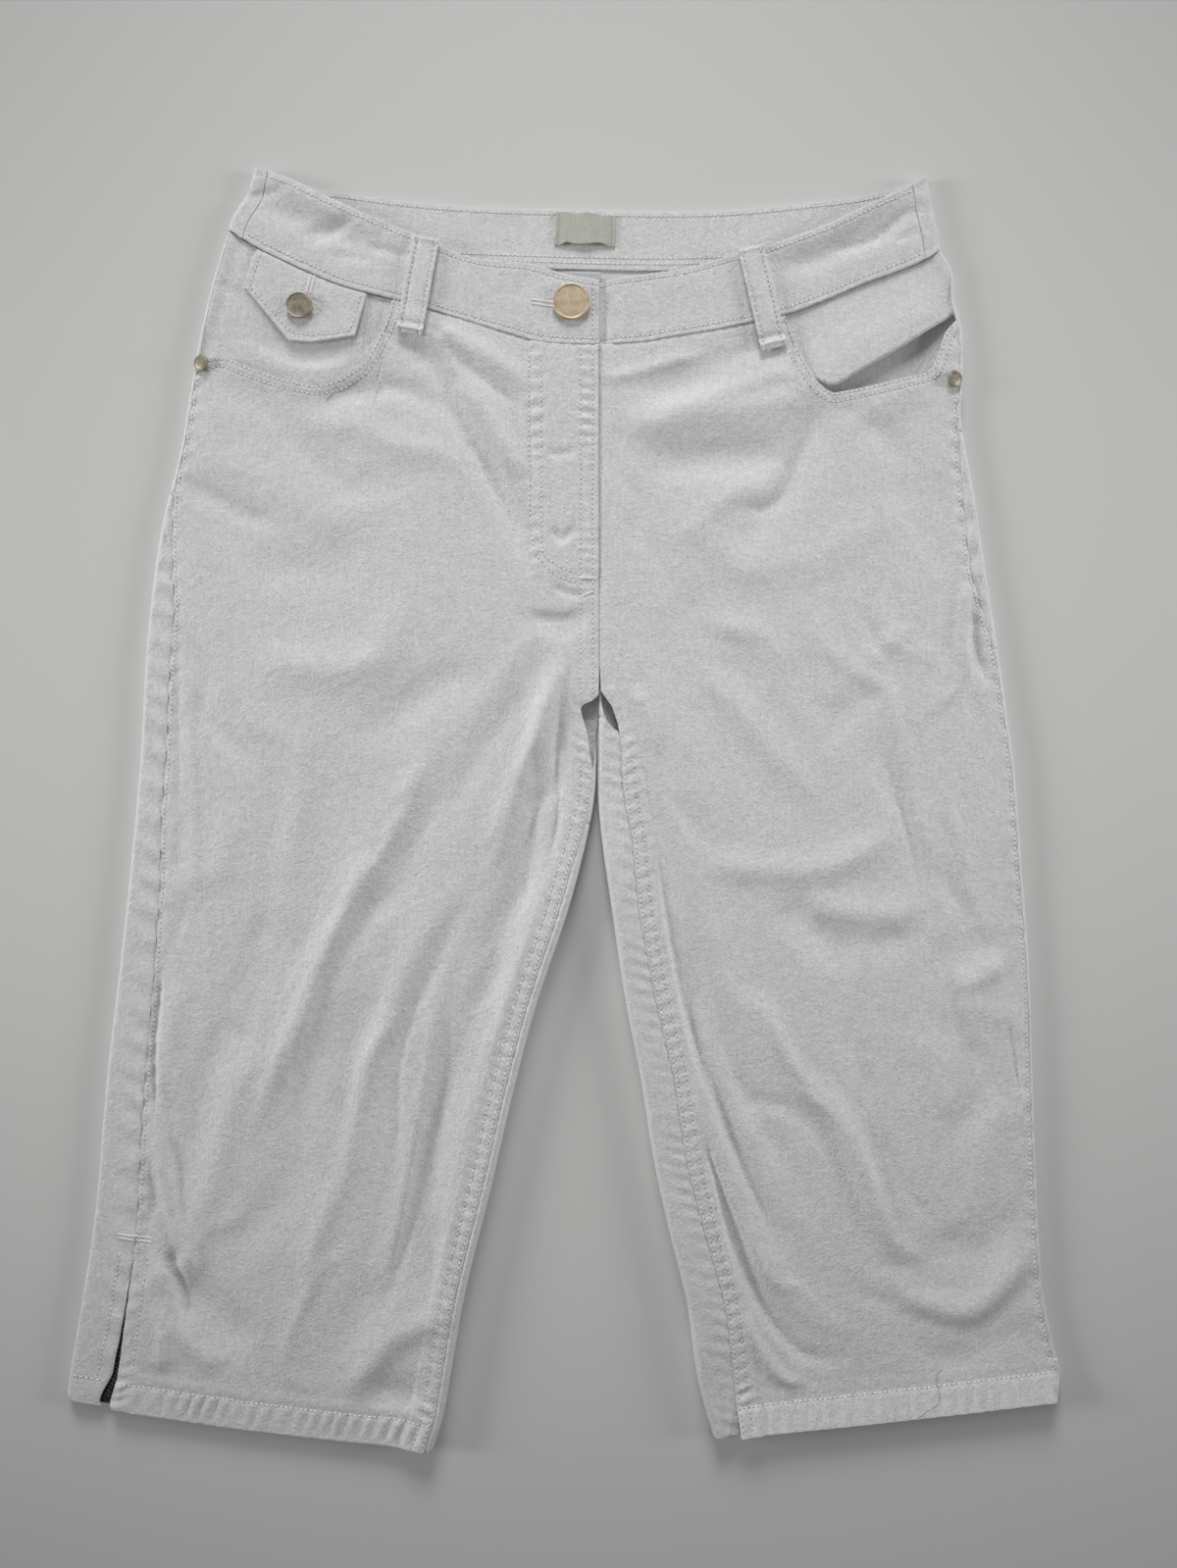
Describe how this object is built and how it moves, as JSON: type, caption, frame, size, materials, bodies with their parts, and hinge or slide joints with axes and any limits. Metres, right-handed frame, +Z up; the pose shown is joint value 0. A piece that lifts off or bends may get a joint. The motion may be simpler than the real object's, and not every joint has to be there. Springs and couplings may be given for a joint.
{
  "type": "capri pants",
  "caption": "White cotton twill capri pants lying flat, front up, with scooped pockets, button waistband, covered fly and short side slits at the hems.",
  "frame": {"origin": "middle of the footprint, on the surface that the pants lie on", "axes": "+Y towards the waist, -Y towards the hems, +X to the wearer's left side, +Z up out of the front"},
  "size_m": [0.5645, 0.7283, 0.0109],
  "materials": {
    "white_twill": "matte",
    "label_ribbon": "matte",
    "rose_gold": "satin",
    "old_brass": "satin",
    "zip_black": "matte",
    "zip_steel": "satin"
  },
  "bodies": {
    "root": {"front_panel_right": "white_twill", "front_panel_left": "white_twill", "back_panel_right": "white_twill", "back_panel_left": "white_twill", "pocket_facing_right": "white_twill", "pocket_facing_left": "white_twill", "coin_pocket_flap": "white_twill", "waistband_back": "white_twill", "waistband_front_right": "white_twill", "waistband_front_left": "white_twill", "belt_loop_right": "white_twill", "belt_loop_left": "white_twill", "size_tag": "white_twill", "waist_label": "label_ribbon", "waist_button": "rose_gold", "coin_button": "old_brass", "rivet_right": "old_brass", "rivet_left": "old_brass", "ankle_zip_tape_right": "zip_black", "ankle_zip_stop_right": "zip_steel"}
  },
  "joints": []
}
